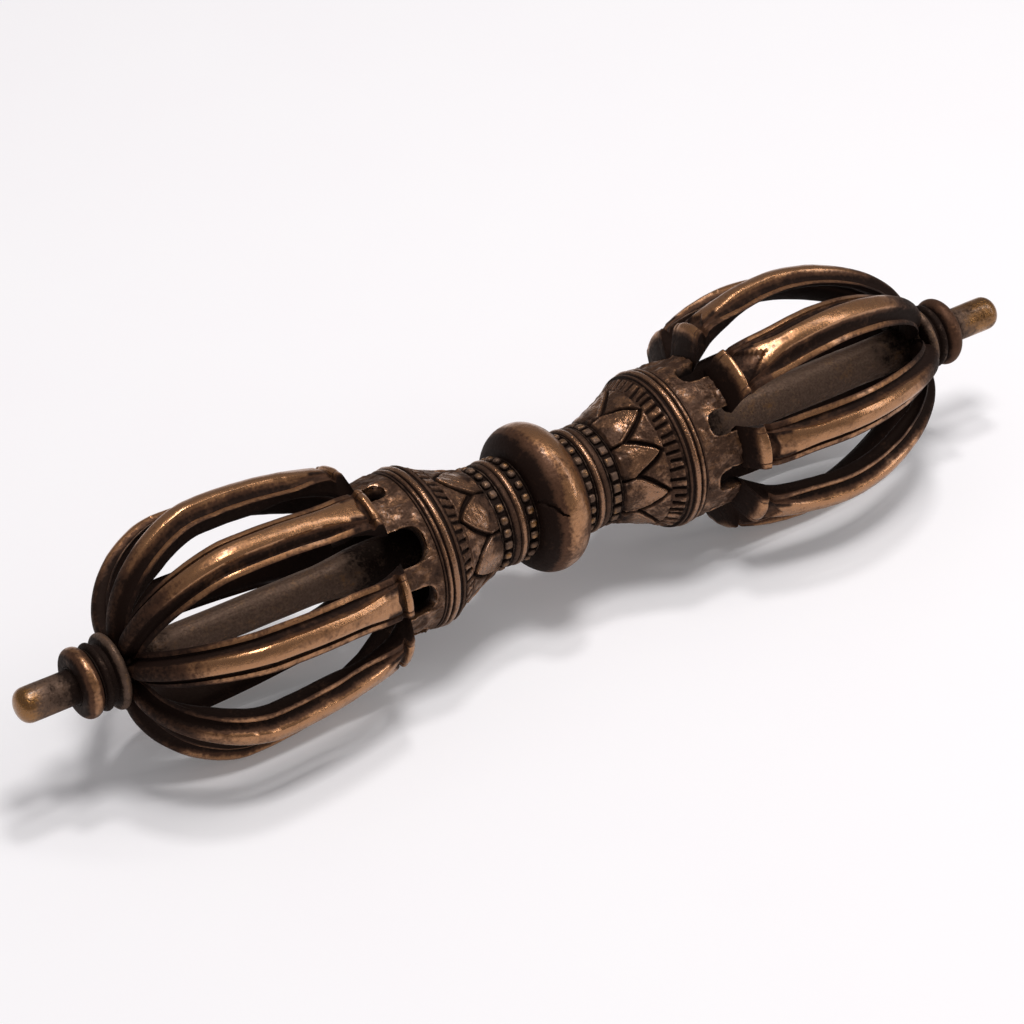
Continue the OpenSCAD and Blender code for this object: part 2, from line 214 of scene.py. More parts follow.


# How bronze ages: bare, greasy metal where hands rub it, brown patina elsewhere, and grime in the hollows.
# The same grime mark also carries painted shade, mixed towards Black, and on the ridge rings the rubbed mark
# carries a painted highlight.
grease_weight = 0.7
aged, given, gives = new_group(
    "aged_bronze",
    {
        "Bare": "Color", "Brown": "Color", "Black": "Color",
        "Rubbed": "Float", "Grime and Shade": "Float", "Mottle": "Float",
    },
    {"Color": "Color", "Roughness": "Float", "Metallic": "Float", "Grease": "Float"},
)
place = aged.nodes.new("ShaderNodeTexCoord").outputs["Object"]
broad = noise_of(aged, place, given["Mottle"], 5.0)
fine = noise_of(aged, place, math_node(aged, "MULTIPLY", given["Mottle"], 6.0), 3.0)
tide = math_node(aged, "MULTIPLY_ADD", broad, 1.1, -0.55)
speck = math_node(aged, "MULTIPLY_ADD", fine, 0.9, -0.45)
rub = math_node(aged, "ADD", given["Rubbed"], math_node(aged, "ADD", tide, speck))
rub = soft_step(aged, rub, 0.3, 0.95)
dirt_and_shade = math_node(aged, "ADD", given["Grime and Shade"], math_node(aged, "SUBTRACT", speck, tide))
dirt_and_shade = soft_step(aged, dirt_and_shade, 0.3, 0.85)
skin = mixed(aged, soft_step(aged, fine, 0.35, 0.7), given["Black"], given["Brown"])
skin = mixed(aged, 0.6, skin, given["Brown"])
skin = mixed(aged, rub, skin, given["Bare"])
aged.links.new(mixed(aged, dirt_and_shade, skin, given["Black"]), gives["Color"])
dull = math_node(aged, "MULTIPLY_ADD", rub, -0.25, 0.5)
dull = math_node(aged, "MULTIPLY_ADD", dirt_and_shade, 0.2, dull)
aged.links.new(math_node(aged, "MULTIPLY_ADD", speck, 0.25, dull), gives["Roughness"])
metal = math_node(aged, "MULTIPLY_ADD", rub, 0.4, 0.5)
aged.links.new(math_node(aged, "MULTIPLY_ADD", dirt_and_shade, -0.3, metal), gives["Metallic"])
clean = math_node(aged, "SUBTRACT", 1.0, dirt_and_shade)
handled = math_node(aged, "MULTIPLY", rub, clean)
aged.links.new(math_node(aged, "MULTIPLY", handled, grease_weight), gives["Grease"])

# The skin that casting and filing leave: a sandy grain, small pits, and fine scratches along the piece
pit_scale = 1300.0
scratch_scale = (60.0, 1800.0, 1800.0)
skin_group, given, gives = new_group(
    "cast_skin", {"Grain": "Float", "Pits": "Float", "Scratches": "Float"}, {"Height": "Float"}
)
place = skin_group.nodes.new("ShaderNodeTexCoord").outputs["Object"]
grain = noise_of(skin_group, place, given["Grain"], 4.0)
cells = add_node(skin_group, "ShaderNodeTexVoronoi", {"Vector": place, "Scale": pit_scale})
pits = soft_step(skin_group, cells.outputs["Distance"], 0.05, 0.3)
pits = math_node(skin_group, "MULTIPLY", pits, given["Pits"])
drawn = add_node(skin_group, "ShaderNodeMapping", {"Vector": place, "Scale": scratch_scale}).outputs[0]
lines = noise_of(skin_group, drawn, 1.0, 2.0)
lines = math_node(skin_group, "MULTIPLY", lines, given["Scratches"])
height = math_node(skin_group, "ADD", math_node(skin_group, "ADD", grain, pits), lines)
skin_group.links.new(height, gives["Height"])

sheen_level = 0.2
sheen_tint = (0.75, 0.62, 0.52, 1)
grease_roughness = 0.22
skin_strength = 0.6


def bronze(name, bare, brown, black, mottle, grain, pits, scratches, depth):
    """A bronze finish: its three colours, the size of its mottling, and how rough its skin is."""
    finish = bpy.data.materials.new(name)
    finish.use_nodes = True
    tree = finish.node_tree
    shader = tree.nodes["Principled BSDF"]
    rubbed = add_node(tree, "ShaderNodeAttribute", {}, attribute_name="rubbed").outputs["Fac"]
    # The grime mark holds real grime and painted shade alike
    grime_and_shade = add_node(tree, "ShaderNodeAttribute", {}, attribute_name="grime_and_shade").outputs["Fac"]
    shader.inputs["Specular IOR Level"].default_value = sheen_level
    shader.inputs["Specular Tint"].default_value = sheen_tint
    shader.inputs["Coat Roughness"].default_value = grease_roughness
    colours = {"Bare": bare + (1,), "Brown": brown + (1,), "Black": black + (1,)}
    age = tree.nodes.new("ShaderNodeGroup")
    age.node_tree = aged
    for socket, colour in colours.items():
        age.inputs[socket].default_value = colour
    age.inputs["Mottle"].default_value = mottle
    tree.links.new(rubbed, age.inputs["Rubbed"])
    tree.links.new(grime_and_shade, age.inputs["Grime and Shade"])
    fed = {"Color": "Base Color", "Roughness": "Roughness", "Metallic": "Metallic", "Grease": "Coat Weight"}
    for socket, name_in_shader in fed.items():
        tree.links.new(age.outputs[socket], shader.inputs[name_in_shader])
    skin_of = tree.nodes.new("ShaderNodeGroup")
    skin_of.node_tree = skin_group
    for socket, value in (("Grain", grain), ("Pits", pits), ("Scratches", scratches)):
        skin_of.inputs[socket].default_value = value
    links = {"Height": skin_of.outputs["Height"], "Strength": skin_strength, "Distance": depth * MM}
    tree.links.new(add_node(tree, "ShaderNodeBump", links).outputs[0], shader.inputs["Normal"])
    return finish


smoked_bronze = bronze(
    "smoked_bronze",
    bare=(0.235, 0.106, 0.026), brown=(0.165, 0.104, 0.074), black=(0.011, 0.0052, 0.0037),
    mottle=420, grain=2600, pits=0.6, scratches=0.8, depth=0.16,
)


def spindle_profile():
    profile = []
    for side in (-1, 1):
        end = span_of("spindle")[1] - pin_worn_off[side]
        half = [(x, spindle_r) for x in between(0.5, prong_seat_x, bar_rows)]
        for x in between(prong_seat_x + 1, cap_x - face_gap, cage_rows):
            thinned = ease(prong_seat_x, waist_x, x)
            half.append((x, spindle_r + (spindle_waist_r[side] - spindle_r) * thinned))
        half += [(x, tenon_r) for x in between(cap_x, pin_x - face_gap / 2, tenon_rows)]
        half += [(x, pin_r) for x in between(pin_x, end - pin_dome, pin_rows)]
        for t in between(0, math.pi / 2, dome_rows)[1:]:
            r = max(pin_pole_r, pin_r * math.cos(t) ** pin_fullness)
            half.append((end - pin_dome + pin_dome * math.sin(t), r))
        profile += [(side * x, r) for x, r in (half[::-1] if side < 0 else half)]
    return profile


def spindle_uneven(x, y, z):
    filed = 0.05 * rough(x / 4, y, z, 1.6, 1) + 0.07 * rough(x, y, z, 6, 2)
    return filed - 0.08


def spindle_rubbed(x, y, z):
    side = -1 if x < 0 else 1
    worn = pin_polish[side] * ease(*pin_rubbed_x[side], abs(x))
    return 0.3 + 0.7 * worn + 0.15 * rough(x, y, z, 5, 3)


# Painted shade darkens the spindle inside the bell's cup and where the toes crowd in by the cap, over a
# little grime; both pin shafts are browner, the near one more
def spindle_grime_and_shade(x, y, z):
    by_cap = ease(cap_x - 12.9, cap_x - 2.9, abs(x)) * (1 - ease(pin_x - 0.55, pin_x + 2.45, abs(x)))
    by_bell = 1 - ease(prong_seat_x - 1.7, prong_seat_x + 8.3, abs(x))
    foot = (pin_x - 0.55, pin_x + 0.45)
    on_pin = 0.4 * ease(*foot, -x) * (1 - ease(pin_x + 3.95, pin_x + 6.95, -x)) + 0.3 * ease(*foot, x)
    return 0.12 + 0.65 * by_cap + 0.75 * by_bell + on_pin


def spindle_bent(x, y, z):
    """The near half was forged a little bowed, which shows inside the cage."""
    bow = ease(prong_seat_x + 1.3, prong_seat_x + 11.3, -x) * (1 - ease(cap_x - 10.9, cap_x - 1.9, -x))
    return x, y + bow * spindle_bow[0], z + bow * spindle_bow[1]


points, faces = turned(spindle_profile(), spindle_columns, spindle_uneven, closed=False)
points = [spindle_bent(*p) for p in points]
spindle = piece_of("forged_spindle", points, faces, spindle_rubbed, spindle_grime_and_shade, smoked_bronze)
set_on_frame(spindle, "spindle")

# Hub
# The round swell that the fingers hold. It was cast round a core for the bar and polished by the hand,
# and a cold shut in the casting has left a ragged crack from its near face up to the crest.
hub_half = span_of("hub")[1]
hub_tube_r = 4.3
hub_ring_r = 7.05
hub_face_r = 6
hub_columns = 300
hub_rows = 56
crack_path = [(-3.7, 145), (-3.1, 149.5), (-2.55, 153), (-2.1, 155.5), (-1.6, 160.5), (-1.1, 162)]
crack_half = 0.36
crack_depth = 0.55

rubbed_bronze = bronze(
    "rubbed_bronze",
    bare=(0.355, 0.168, 0.07), brown=(0.105, 0.05, 0.029), black=(0.012, 0.0052, 0.0036),
    mottle=300, grain=2200, pits=0.35, scratches=0.9, depth=0.06,
)


def crack_nearness(x, y, z):
    """1 in the middle of the crack and 0 outside it."""
    r = math.hypot(y, z)
    angle = math.degrees(math.atan2(z, y))
    arc = math.radians(1) * r
    nearest = 9.0
    for (x0, a0), (x1, a1) in zip(crack_path, crack_path[1:]):
        run, rise = x1 - x0, (a1 - a0) * arc
        share = ((x - x0) * run + (angle - a0) * arc * rise) / (run * run + rise * rise)
        share = min(1.0, max(0.0, share))
        gap = math.hypot(x - x0 - share * run, (angle - a0) * arc - share * rise)
        nearest = min(nearest, gap)
    half = crack_half * (1 + 0.7 * rough(x, y, z, 0.5, 4)) * (1 - 0.55 * ease(-2.6, -1.0, x))
    return 1 - ease(0.35 * half, half, nearest)


def hub_uneven(x, y, z):
    handled = 0.05 * rough(x, y, z, 4, 5) + 0.02 * rough(x, y, z, 0.8, 6) - 0.05
    return handled - crack_depth * crack_nearness(x, y, z)


def hub_rubbed(x, y, z):
    patchy = 0.3 * rough(x, y, z, 3.5, 7)
    return 0.72 + patchy - 0.65 * ease(0.9, 3.2, abs(x - 0.9)) - 0.8 * crack_nearness(x, y, z)


def hub_grime(x, y, z):
    return 0.16 + 0.8 * ease(2.0, 3.6, abs(x - 0.5)) + crack_nearness(x, y, z)


hub_profile = [(-hub_half, spindle_bore_r), (-hub_half, hub_face_r)]
for x in between(-hub_half, hub_half, hub_rows):
    hub_profile.append((x, hub_ring_r + math.sqrt(hub_tube_r ** 2 - x ** 2)))
hub_profile += [(hub_half, hub_face_r), (hub_half, spindle_bore_r)]
points, faces = turned(hub_profile, hub_columns, hub_uneven, closed=True)
hub = piece_of("cast_hub", points, faces, hub_rubbed, hub_grime, rubbed_bronze)
set_on_frame(hub, "hub")

# Bead rings
# Two collars on each side of the hub, each a row of round beads in a channel between two thin edges.
# The beads were modelled by hand in the wax, so no two are quite alike, and old grime fills the channel.
bead_ring_spans = {row: span_of(f"far_{row}_bead_ring") for row in ("inner", "outer")}
bead_row_r = 7.33
bead_edge_r = 7.63
bead_edge_w = 0.24
bead_edge_round = 0.06
bead_edge_fall = 0.08
bead_channel_slope = 0.04
bead_channel_x = 0.7
bead_channel_dip = 0.06
bead_face_r = 7
bead_r = 0.72
bead_count = 24
bead_wear = {(-1, "inner"): 0.3, (-1, "outer"): 0.35, (1, "inner"): 0.45, (1, "outer"): 0.9}
bead_columns = 144
BEAD_AROUND = 16
BEAD_DOWN = 10


def bead(points, faces, x0, angle, size, length, worn):
    """One bead: a ball a little longer or shorter than round, flatter and squarer the more it is worn."""
    start = len(points)
    out = Vector((0, math.cos(angle), math.sin(angle)))
    along = Vector((1, 0, 0))
    across = out.cross(along)
    centre = Vector((x0, 0, 0)) + out * (bead_row_r + bead_r - size)
    flat = 1 - 0.3 * worn
    for i in range(1, BEAD_DOWN):
        t = math.pi * i / BEAD_DOWN
        for k in range(BEAD_AROUND):
            a = FULL_TURN * k / BEAD_AROUND
            square = max(abs(math.cos(a)), abs(math.sin(a))) ** -worn
            ring = math.sin(t) * size * square
            height = min(math.cos(t), flat) * size
            p = centre + out * height + along * (ring * length * math.cos(a)) + across * (ring * math.sin(a))
            points.append(tuple(p))
    top, bottom = len(points), len(points) + 1
    points += [tuple(centre + out * size * flat), tuple(centre - out * size)]
    for i in range(BEAD_DOWN - 2):
        for k in range(BEAD_AROUND):
            low, high = start + i * BEAD_AROUND, start + (i + 1) * BEAD_AROUND
            n = (k + 1) % BEAD_AROUND
            faces.append((low + k, low + n, high + n, high + k))
    last = start + (BEAD_DOWN - 2) * BEAD_AROUND
    for k in range(BEAD_AROUND):
        n = (k + 1) % BEAD_AROUND
        faces.append((top, start + n, start + k))
        faces.append((bottom, last + k, last + n))


def bead_ring(side, row):
    """One collar: its turned channel and edges, and the beads of its row."""
    x0, x1 = bead_ring_spans[row]
    edge, soft = bead_edge_w, bead_edge_round
    section = [
        (0, spindle_bore_r), (0, bead_face_r), (0, bead_edge_r - soft), (soft, bead_edge_r),
        (edge - soft, bead_edge_r), (edge, bead_edge_r - bead_edge_fall),
        (edge + bead_channel_slope, bead_row_r), (bead_channel_x, bead_row_r - bead_channel_dip),
    ]
    section += [(x1 - x0 - x, r) for x, r in section[::-1]]
    profile = [(side * (x0 + x), r) for x, r in section]
    seed = 10 + 3 * x0 + side

    def uneven(x, y, z):
        return 0.05 * rough(x, y, z, 1.2, seed) - 0.03

    points, faces = turned(profile, bead_columns, uneven, closed=True)
    for k in range(bead_count):
        wander = rough(k, seed, 0, 1.7, seed)
        angle = FULL_TURN * (k + 0.16 * wander) / bead_count
        size = bead_r * (0.93 + 0.07 * rough(k, 0, seed, 1.3, seed + 1))
        length = 1 + 0.16 * rough(0, k, seed, 1.9, seed + 2)
        worn = bead_wear[side, row] + 0.3 * rough(k, seed, 2, 1.6, seed + 3)
        bead(points, faces, side * (x0 + x1) / 2, angle, size, length, min(1.0, max(0.0, worn)))
    return points, faces


def collar_rubbed(x, y, z):
    above = math.hypot(y, z) - bead_row_r
    return (0.55 + 0.5 * rough(x, y, z, 1.5, 8)) * ease(0.17, 0.67, above)


def collar_grime(x, y, z):
    above = math.hypot(y, z) - bead_row_r
    return 1 - (0.75 + 0.35 * rough(x, y, z, 1.0, 9)) * ease(0.07, 0.57, above)


for side, side_name in SIDES:
    for row in bead_ring_spans:
        points, faces = bead_ring(side, row)
        name = f"{side_name}_{row}_beads"
        ring = piece_of(name, points, faces, collar_rubbed, collar_grime, smoked_bronze)
        set_on_frame(ring, f"{side_name}_{row}_bead_ring")

# Ridge rings
# Between the two rows of beads sits a plain collar of two rounded ridges, turned with a parting groove.
# The ridge by the hub is the higher, and its top is painted bright as a highlight over its wear; the other is
# painted darker as shade.
ridge_x, ridge_end_x = span_of("far_ridge_ring")
ridge_w = ridge_end_x - ridge_x
ridge_row_r = 7.45
ridge_r = 0.6
ridge_rises = (0.6, 0.42)
ridge_foot_r = 6.6
ridge_parting = (ridge_x + 1.0, ridge_x + 1.3)
ridge_columns = 160
ridge_rows = 12

chased_bronze = bronze(
    "chased_bronze",
    bare=(0.245, 0.119, 0.057), brown=(0.082, 0.043, 0.027), black=(0.011, 0.005, 0.0035),
    mottle=480, grain=2400, pits=0.6, scratches=0.5, depth=0.16,
)


def ridge_profile(side):
    section = [(0, spindle_bore_r), (0, ridge_foot_r)]
    for middle, rise in zip((ridge_r, ridge_w - ridge_r), ridge_rises):
        for t in between(0, math.pi, ridge_rows):
            section.append((middle - ridge_r * math.cos(t), ridge_row_r + rise * math.sin(t)))
    section += [(ridge_w, ridge_foot_r), (ridge_w, spindle_bore_r)]
    return [(side * (ridge_x + x), r) for x, r in section]


def ridge_uneven(x, y, z):
    return 0.05 * rough(x, y, z, 3, 21) - 0.04


# Painted highlight on the top of the ridge by the hub; the other ridge's top is barely rubbed
def ridge_wear_and_highlight(x, y, z):
    above = math.hypot(y, z) - ridge_row_r
    return (0.95 - 0.75 * ease(*ridge_parting, abs(x))) * ease(0.35, 0.55, above)


# Painted shade keeps the ridge away from the hub darker; the groove and feet are dark
def ridge_grime_and_shade(x, y, z):
    above = math.hypot(y, z) - ridge_row_r
    return 1 - (0.95 - 0.3 * ease(*ridge_parting, abs(x))) * ease(0.1, 0.4, above)


for side, side_name in SIDES:
    points, faces = turned(ridge_profile(side), ridge_columns, ridge_uneven, closed=True)
    ring = piece_of(f"{side_name}_ridges", points, faces, ridge_wear_and_highlight, ridge_grime_and_shade, chased_bronze)
    set_on_frame(ring, f"{side_name}_ridge_ring")

# Lotus bells
# A cast cup on each side, chased with eight pointed lotus petals, the tips of a second row between them and
# a band of short strokes. Beyond the rim it ends in a plain crown, cut into eight tongues that carry the
# prongs.
bell_x, tongue_end_x = span_of("far_lotus_bell")
rim_start_x, rim_end_x = span_of("far_rim_ring")
rim_x = rim_start_x - face_gap
crown_x = rim_end_x + face_gap
bell_length = rim_x - bell_x
rim_seat_r = 11.45
crown_r = 12.0
cup_r = 9.6
cup_floor_x = bell_x + 6.2
cup_floor_r = 7.4
notch_top_x = crown_x + 3.9
notch_half = {-1: 2.5, 1: 1.95}
own_notch = {(-1, 2): (-2.0, 1.7), (-1, 3): (2.5, 2.8)}
NOTCH_SQUARENESS = 2.6
far_turn = math.radians(5)
flare_centre_r = 38.515
flare_centre_u = -8.28
flare_arc_r = 32.0
PETALS = 8
NOTCH_COLUMNS = 28
TONGUE_COLUMNS = 36
FLARE_ROWS = 88
CROWN_ROWS = 8
TONGUE_ROWS = 8
petal_valley_u = 1.9
petal_tip_u = 6.25
petal_places = {
    -1: (1, 44, 92, 134, 181, 226, 268, 316),
    1: (0, 50, 99, 137, 174, 221, 270, 315),
}
hatch_from = 6.75
hatch_to = 8.45
hatch_count = 48
petal_rise, gable_rise, petal_lip, outline_depth = 0.26, 0.24, 0.14, 0.5
second_row_rise = 0.26
hatch_rise, hatch_depth = 0.26, 0.6
foot_sunk = 0.35
crust_depth = 0.25
crown_edge_bevel = 0.28
crown_edge_steps = 3


def flare_r(u):
    """Radius of the plain flare at u from the bell's foot."""
    return flare_centre_r - math.sqrt(flare_arc_r ** 2 - (u - flare_centre_u) ** 2)


def bump_at(value, middle, half):
    """A round bump: 1 in its middle and 0 at half its width and beyond."""
    t = (value - middle) / half
    return (1 - t * t) ** 2 if abs(t) < 1 else 0.0


def petal_at(side, angle):
    """How far an angle lies from the nearest petal's middle, half the span on that side, and its number."""
    best = None
    places = petal_places[side]
    for k, middle in enumerate(places):
        off = (math.degrees(angle) - middle + 180) % 360 - 180
        if best is None or abs(off) < abs(best[0]):
            best = (off, k)
    off, k = best
    beside = places[(k + (1 if off > 0 else -1)) % PETALS]
    span = abs((beside - places[k] + 180) % 360 - 180)
    return math.radians(abs(off)), math.radians(span / 2), k


def carving(u, angle, r, side, seed):
    """Height of the chasing above the plain flare, at u from the foot."""
    y, z = r * math.cos(angle), r * math.sin(angle)
    turn = angle + math.radians(1.6 * rough(u, y, z, 3.0, seed))
    off, half_span, petal = petal_at(side, turn)
    tip = petal_tip_u + 0.4 * rough(petal, seed, 0, 1.6, seed + 1)
    if u < petal_valley_u:
        half = r * half_span * (0.94 + 0.06 * u / petal_valley_u)
        inside = half - off * r
    else:
        left = max(0.0, 1 - (u - petal_valley_u) / (tip - petal_valley_u))
        half = r * half_span * left ** 0.85
        inside = 0.78 * (half - off * r) if u < tip else -0.78 * (off * r + (u - tip))
    gable = 1 - min(1.0, off * r / max(0.6, half)) if inside > 0 else 0.0
    height = ease(-0.05, 0.3, inside) * (petal_rise + gable_rise * gable)
    height += petal_lip * bump_at(inside, 0.32, 0.26)
    height -= outline_depth * bump_at(inside, -0.24, 0.34)
    if inside < -0.4 and u < hatch_from:
        between_tips = ease(-0.4, -0.7, inside) * (1 - ease(hatch_from - 0.4, hatch_from, u))
        height += between_tips * (second_row_rise + 0.1 * rough(u, y, z, 1.2, seed))
    if hatch_from - 0.6 < u < hatch_to + 0.3:
        stroke = turn * hatch_count / FULL_TURN
        nearest = round(stroke)
        number = nearest % hatch_count
        jitter = 0.3 * rough(number, seed, 1, 1.7, seed + 2)
        slant = 0.14 * rough(number, 2, seed, 1.4, seed + 4)
        lean = slant * (u - (hatch_from + hatch_to) / 2)
        gap = abs(stroke - nearest + jitter + lean) * FULL_TURN / hatch_count * r
        begin = hatch_from + 0.5 * rough(number, 3, seed, 1.9, seed + 3)
        span = ease(begin - 0.15, begin + 0.1, u) * (1 - ease(hatch_to - 0.1, hatch_to + 0.1, u))
        band = ease(hatch_from - 0.2, hatch_from + 0.1, u) * (1 - ease(hatch_to - 0.1, hatch_to + 0.1, u))
        height += hatch_rise * band - hatch_depth * span * bump_at(gap, 0, 0.44)
    height += 0.1 * rough(u, y, z, 1.3, seed + 5) + 0.07 * rough(u, y, z, 0.5, seed + 6)
    return height - foot_sunk * (1 - ease(0.05, 0.35, u))


def notch_at(side, number):
    """The angle of a notch's middle, and half its width."""
    off, half = own_notch.get((side, number % PETALS), (0.0, notch_half[side]))
    return FULL_TURN * number / PETALS + math.radians(off), half


def bell_columns(side):
    """Each column's angle outside, angle inside, and how deep the notch is there, or None on a tongue."""
    columns = []
    for k in range(PETALS):
        base, half = notch_at(side, k)
        after, half_after = notch_at(side, k + 1)
        for t in between(-1, 1, NOTCH_COLUMNS)[:-1]:
            deep = half * max(0.0, 1 - abs(t) ** NOTCH_SQUARENESS) ** (1 / NOTCH_SQUARENESS)
            columns.append((base + math.asin(t * half / crown_r), base + math.asin(t * half / cup_r), deep))
        ends = []
        for r in (crown_r, cup_r):
            ends.append((base + math.asin(half / r), after - math.asin(half_after / r)))
        for t in between(0, 1, TONGUE_COLUMNS)[:-1]:
            columns.append(tuple(low + t * (high - low) for low, high in ends) + (None,))
    return columns


def crust(x, a, seed):
    """How far the crown's pitted skin lies below its plain radius."""
    y, z = crown_r * math.cos(a), crown_r * math.sin(a)
    lumps = 0.25 * rough(x, y, z, 2.0, seed) + 0.25 * rough(x, y, z, 0.9, seed + 1)
    lumps += 0.1 * rough(x, y, z, 0.45, seed + 2)
    return crust_depth - lumps * ease(crown_x, crown_x + 0.6, x)


def lotus_bell(side, seed, turn):
    """One bell's points and faces, and the edges of its notches, which are softened later."""
    columns = bell_columns(side)
    count = len(columns)
    points, faces, soft_edges = [], [], []

    def put(x, r, a):
        points.append((side * x, r * math.cos(a + turn), r * math.sin(a + turn)))

    def row_of(x_at, r_at, inner=False):
        start = len(points)
        for out_angle, in_angle, deep in columns:
            a = in_angle if inner else out_angle
            put(x_at(deep), r_at(a), a)
        return start

    def arch(deep):
        """Where the plain wall ends: at the notch's round bottom, or level with its top beside it."""
        return notch_top_x - (deep or 0.0)

    rows = [row_of(lambda s: bell_x, lambda a: spindle_bore_r)]
    for u in between(0.0, bell_length, FLARE_ROWS):
        plain = flare_r(u)
        rows.append(row_of(lambda s: bell_x + u, lambda a: plain + carving(u, a, plain, side, seed)))
    rows.append(row_of(lambda s: crown_x, lambda a: rim_seat_r))
    for t in between(0, 1, CROWN_ROWS):
        worn = 0.12 * (1 - ease(0, 0.15, t))
        level = crown_x + t * (notch_top_x - crown_x)
        rows.append(row_of(
            lambda s: crown_x + t * (arch(s) - crown_x), lambda a: crown_r - worn - crust(level, a, seed)
        ))
    outer_edge = rows[-1]
    inner_edge = row_of(arch, lambda a: cup_r, True)
    rows.append(inner_edge)
    rows.append(row_of(lambda s: rim_x + 1, lambda a: cup_r, True))
    rows.append(row_of(lambda s: cup_floor_x, lambda a: cup_floor_r, True))
    rows.append(row_of(lambda s: cup_floor_x, lambda a: spindle_bore_r, True))
    for low, high in zip(rows, rows[1:] + rows[:1]):
        for k in range(count):
            n = (k + 1) % count
            in_notch = columns[k][2] is not None
            if low == outer_edge and not in_notch:
                continue
            faces.append((low + k, low + n, high + n, high + k))
            if low == outer_edge:
                soft_edges += [(low + k, low + n), (high + k, high + n)]

    for start in range(NOTCH_COLUMNS, count, NOTCH_COLUMNS + TONGUE_COLUMNS):
        span = [(start + k) % count for k in range(TONGUE_COLUMNS + 1)]
        skins = []
        for edge, r, angle_at in ((outer_edge, crown_r, 0), (inner_edge, cup_r, 1)):
            skin = [[edge + k for k in span]]
            for x in between(notch_top_x, tongue_end_x, TONGUE_ROWS)[1:]:
                first = len(points)
                for k in span:
                    a = columns[k][angle_at]
                    put(x, r - (crust(x, a, seed) if r == crown_r else 0), a)
                skin.append(list(range(first, first + len(span))))
            skins.append(skin)
        outer, inner = skins
        for i in range(TONGUE_ROWS):
            for k in range(TONGUE_COLUMNS):
                for skin in skins:
                    faces.append((skin[i][k], skin[i][k + 1], skin[i + 1][k + 1], skin[i + 1][k]))
            for k in (0, TONGUE_COLUMNS):
                faces.append((outer[i][k], outer[i + 1][k], inner[i + 1][k], inner[i][k]))
                soft_edges += [(outer[i][k], outer[i + 1][k]), (inner[i][k], inner[i + 1][k])]
        for k in range(TONGUE_COLUMNS):
            faces.append((outer[-1][k], outer[-1][k + 1], inner[-1][k + 1], inner[-1][k]))
    return points, faces, soft_edges


def bell_marks(side, seed, turn):
    """Where the bell is rubbed and where it is dark: from how high each point stands above the flare, with
    painted shade inside the cup and down the notch walls.
    """
    def lift(x, y, z):
        return math.hypot(y, z) - flare_r(abs(x) - bell_x)

    def by_notch(x, y, z):
        """1 on the edge of a notch, and 0 a little way from it."""
        a = math.atan2(z, y) - turn
        middle, half = notch_at(side, round(a * PETALS / FULL_TURN))
        s = crown_r * math.sin(a - middle) / half
        drop = max(0.0, notch_top_x - abs(x)) / half
        away = (abs(s) ** NOTCH_SQUARENESS + drop ** NOTCH_SQUARENESS) ** (1 / NOTCH_SQUARENESS)
        return 1 - ease(0.08, 0.4, abs(away - 1) * half)

    def on_crown(x, y, z):
        return ease(crown_r - 1.0, crown_r - 0.3, math.hypot(y, z))

    def rubbed(x, y, z):
        if abs(x) > rim_x:
            worn = 0.42 + 0.55 * rough(x, y, z, 1.6, seed) + 0.45 * by_notch(x, y, z)
            return on_crown(x, y, z) * worn
        on_foot = 1 - ease(bell_x + 1.0, bell_x + 3.2, abs(x))
        high = ease(0.12, 0.42, lift(x, y, z))
        return 0.15 + 0.5 * rough(x, y, z, 2.0, seed + 7) + 0.75 * high - 0.45 * on_foot

    # Inside the cup and down the walls of the notches the grime is full: painted shade
    def grime_and_shade(x, y, z):
        if abs(x) > rim_x:
            clean = 0.75 - 0.4 * rough(x, y, z, 1.1, seed + 2) + 0.2 * by_notch(x, y, z)
            return 1 - on_crown(x, y, z) * clean
        on_foot = 1 - ease(bell_x + 0.8, bell_x + 2.8, abs(x))
        clean = 0.85 * ease(-0.15, 0.2, lift(x, y, z))
        return 1 - clean + (0.3 + 0.4 * rough(x, y, z, 1.0, seed + 8)) * on_foot

    return rubbed, grime_and_shade


for side, side_name in SIDES:
    seed = 40 + side
    turn = far_turn if side > 0 else 0.0
    points, faces, soft_edges = lotus_bell(side, seed, turn)
    rubbed, grime_and_shade = bell_marks(side, seed, turn)
    bell = piece_of(f"{side_name}_chased_bell", points, faces, rubbed, grime_and_shade, chased_bronze, sharp=50)
    softened = {tuple(sorted(pair)) for pair in soft_edges}
    weights = bell.data.attributes.new("bevel_weight_edge", "FLOAT", "EDGE")
    for edge in bell.data.edges:
        weights.data[edge.index].value = 1.0 if tuple(sorted(edge.vertices)) in softened else 0.0
    bevel = bell.modifiers.new("worn edges", "BEVEL")
    bevel.limit_method = "WEIGHT"
    bevel.width = crown_edge_bevel * MM
    bevel.segments = crown_edge_steps
    set_on_frame(bell, f"{side_name}_lotus_bell")

# Rim rings
# A moulding round the mouth of each bell: a bold ridge and a lesser one, between two thin lines.
# It is soldered into a seat, its ridges are worn bright, and its grooves hold the darkest grime.
rim_w = rim_end_x - rim_start_x
rim_bore_r = rim_seat_r + 0.05
rim_band_r = 11.72
rim_ridges = [(0.28, 0.26, 0.2), (1.45, 0.52, 0.48), (2.5, 0.36, 0.36), (3.15, 0.2, 0.16)]
rim_columns = 200
rim_rows = 72


def moulding(x, ridges):
    """Height at x of a row of round ridges, each given by its middle, half its width and its rise."""
    return max(rise * math.sqrt(max(0.0, 1 - ((x - middle) / half) ** 2)) for middle, half, rise in ridges)


def rim_uneven(x, y, z):
    return 0.05 * rough(x, y, z, 3, 51) + 0.035 * rough(x, y, z, 0.9, 52) - 0.05


def rim_rubbed(x, y, z):
    return 0.1 + 0.9 * ease(rim_band_r + 0.12, rim_band_r + 0.4, math.hypot(y, z))


